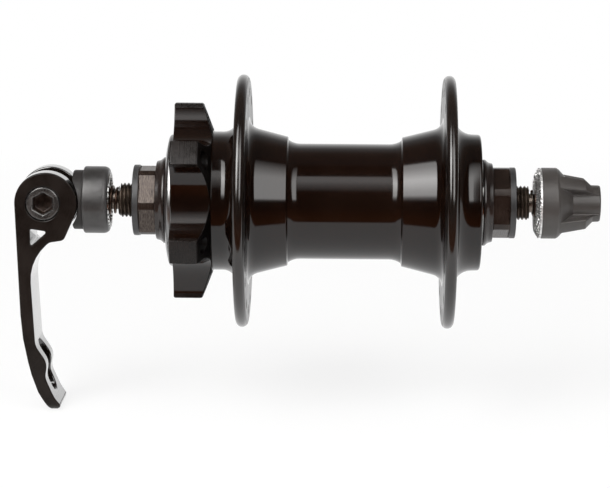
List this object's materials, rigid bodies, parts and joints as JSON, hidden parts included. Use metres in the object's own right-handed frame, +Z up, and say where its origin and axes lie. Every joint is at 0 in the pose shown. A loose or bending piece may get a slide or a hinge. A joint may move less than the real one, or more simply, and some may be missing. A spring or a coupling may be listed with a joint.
{
  "type": "bicycle disc hub",
  "caption": "Front disc-brake hub with flanged shell, cup-and-cone bearings, threaded axle and quick-release skewer with cam lever.",
  "frame": {"origin": "on the axle's line, midway between the two locknut faces", "axes": "+X along the axle away from the brake disc and the lever, +Z up with the closed lever hanging along -Z, +Y away from the camera"},
  "size_m": [0.153, 0.0662, 0.0885],
  "materials": {
    "black_anodised_shell": "polished black anodising",
    "black_oxide_steel": "brown-black oxide on screw steel",
    "bearing_steel": "ground hardened steel",
    "bright_steel": "bright plated steel",
    "dark_steel": "satin blackened steel",
    "black_lever": "satin black anodising",
    "dark_cap": "satin dark grey anodising",
    "cam_plastic": "moulded black bearing plastic",
    "charcoal_plastic": "matt moulded charcoal plastic",
    "brass_insert": "turned brass",
    "spring_steel": "oiled dark spring wire",
    "seal_rubber": "moulded black rubber"
  },
  "bodies": {
    "axle_set": {"axle": "black_oxide_steel", "left_cone": "bearing_steel", "right_cone": "bearing_steel", "left_seal_boot": "seal_rubber", "right_seal_boot": "seal_rubber", "left_lock_washer": "bright_steel", "right_lock_washer": "bright_steel", "left_locknut": "dark_steel", "right_locknut": "dark_steel"},
    "shell": {"hub_shell": "black_anodised_shell", "left_bearing_cup": "bearing_steel", "right_bearing_cup": "bearing_steel", "left_dust_ring": "bright_steel", "right_dust_ring": "bright_steel"},
    "left_ball_ring": {"left_balls": "bearing_steel"},
    "right_ball_ring": {"right_balls": "bearing_steel"},
    "skewer": {"skewer_rod": "black_oxide_steel", "pivot_barrel": "dark_steel"},
    "lever_arm": {"lever": "black_lever"},
    "cap": {"lever_cap": "dark_cap", "cam_washer": "cam_plastic", "cap_grip_ring": "bright_steel", "left_spring": "spring_steel"},
    "nut_carrier": {"right_spring": "spring_steel"},
    "nut": {"skewer_nut": "charcoal_plastic", "nut_threaded_insert": "brass_insert", "nut_grip_ring": "bright_steel"}
  },
  "joints": [
    {"name": "shell_spin", "type": "hinge", "parent": "axle_set", "child": "shell", "pos_m": [0, 0, 0], "axis": [1, 0, 0], "continuous": true},
    {"name": "left_balls_roll", "type": "hinge", "parent": "axle_set", "child": "left_ball_ring", "pos_m": [0, 0, 0], "axis": [1, 0, 0], "continuous": true},
    {"name": "right_balls_roll", "type": "hinge", "parent": "axle_set", "child": "right_ball_ring", "pos_m": [0, 0, 0], "axis": [1, 0, 0], "continuous": true},
    {"name": "skewer_turn", "type": "hinge", "parent": "axle_set", "child": "skewer", "pos_m": [0, 0, 0], "axis": [1, 0, 0], "continuous": true},
    {"name": "lever_swing", "type": "hinge", "parent": "skewer", "child": "lever_arm", "pos_m": [-0.0733, 0, 0], "axis": [0, 1, 0], "range_deg": [0, 160]},
    {"name": "cap_slide", "type": "slide", "parent": "skewer", "child": "cap", "axis": [-1, 0, 0], "range_m": [0, 0.0013], "deforming": ["left_spring"]},
    {"name": "nut_travel", "type": "slide", "parent": "skewer", "child": "nut_carrier", "axis": [-1, 0, 0], "range_m": [-0.0048, 0.0032], "deforming": ["right_spring"]},
    {"name": "nut_turn", "type": "hinge", "parent": "nut_carrier", "child": "nut", "pos_m": [0, 0, 0], "axis": [-1, 0, 0], "range_deg": [-2160.1, 1440.1]}
  ],
  "couplings": [
    {"joint": "left_balls_roll", "follows": "shell_spin", "ratio": 0.5935},
    {"joint": "right_balls_roll", "follows": "shell_spin", "ratio": 0.5935},
    {"joint": "cap_slide", "follows": "lever_swing", "m_per_rad": 0.00045},
    {"joint": "nut_turn", "follows": "nut_travel", "rad_per_m": 7854}
  ]
}
